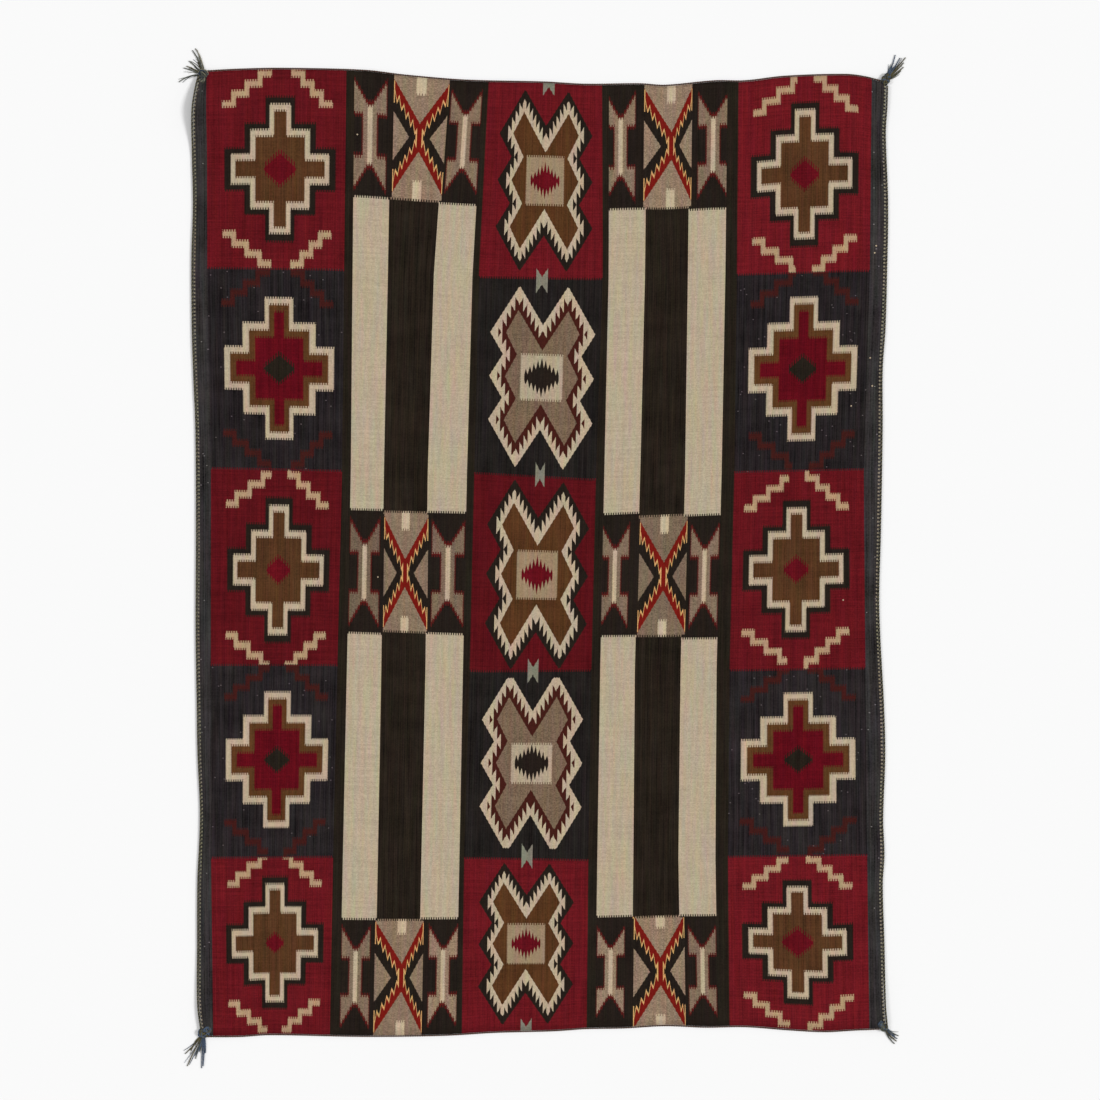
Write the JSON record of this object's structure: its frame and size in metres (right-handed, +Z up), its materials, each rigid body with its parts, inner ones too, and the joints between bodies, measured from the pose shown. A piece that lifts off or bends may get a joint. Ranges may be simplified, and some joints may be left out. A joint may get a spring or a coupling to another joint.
{
  "type": "navajo rug",
  "caption": "Handwoven wool tapestry rug lying flat, with twisted edge cords, knotted corner tassels, terraced crosses, serrated X figures and stripes.",
  "frame": {"origin": "middle of the rug's flat underside, on the floor", "axes": "+Z up out of the rug's face, +Y along the warps towards the end with the rippled corner, +X to the right seen from above"},
  "size_m": [1.454, 2.0391, 0.0166],
  "materials": {
    "woven_wool": "matte weft-faced wool tapestry with a red, dark blue, brown and ivory geometric pattern",
    "side_cord_wool": "matte two-ply wool cord, one ply pale and one dark",
    "end_cord_wool": "matte dark wool cord",
    "tassel_wool": "matte loose yarn ends in slate blue and olive"
  },
  "bodies": {
    "root": {"rug": "woven_wool", "side_cord_left": "side_cord_wool", "side_cord_right": "side_cord_wool", "end_cord_top": "end_cord_wool", "end_cord_bottom": "end_cord_wool", "tassel_top_left": "tassel_wool", "tassel_top_right": "tassel_wool", "tassel_bottom_left": "tassel_wool", "tassel_bottom_right": "tassel_wool"}
  },
  "joints": []
}
